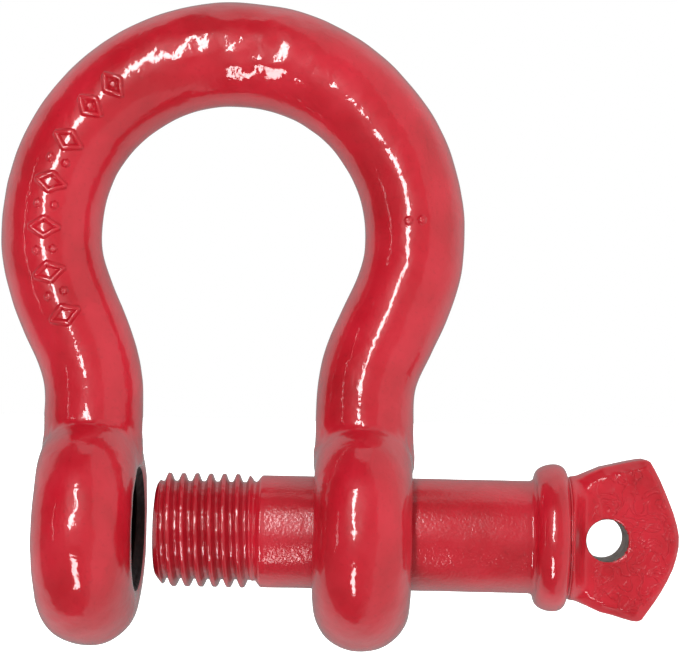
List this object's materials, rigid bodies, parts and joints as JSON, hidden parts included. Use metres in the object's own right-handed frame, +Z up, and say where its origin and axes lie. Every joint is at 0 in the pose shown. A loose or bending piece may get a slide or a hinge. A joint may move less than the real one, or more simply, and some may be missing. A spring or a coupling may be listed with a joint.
{
  "type": "bow shackle",
  "caption": "Forged bow shackle with a threaded screw pin that slides and turns out of the jaw; the bow hangs from a hook and the pin closes the jaw round a load.",
  "frame": {"origin": "inside of the bow's crown, on the bow's two symmetry planes, where a hook or another shackle carries it", "axes": "+X along the pin towards its eye head, +Y across the bow, +Z up from the pin to the crown"},
  "size_m": [0.1744, 0.06, 0.1658],
  "materials": {
    "bow_enamel": "glossy red enamel over forged steel",
    "pin_enamel": "glossy red enamel over forged steel"
  },
  "bodies": {
    "bow": {"bow": "bow_enamel"},
    "collar": {"pin_collar": "pin_enamel"},
    "pin": {"screw_pin": "pin_enamel"}
  },
  "joints": [
    {"name": "pin_travel", "type": "slide", "parent": "bow", "child": "collar", "axis": [1, 0, 0], "range_m": [-0.0308, 0.07]},
    {"name": "pin_turn", "type": "hinge", "parent": "collar", "child": "pin", "pos_m": [0.04, 0, -0.1092], "axis": [1, 0, 0], "range_deg": [-3168, 7195]}
  ],
  "couplings": [
    {"joint": "pin_travel", "follows": "pin_turn", "m_per_rad": 0.00055704}
  ]
}
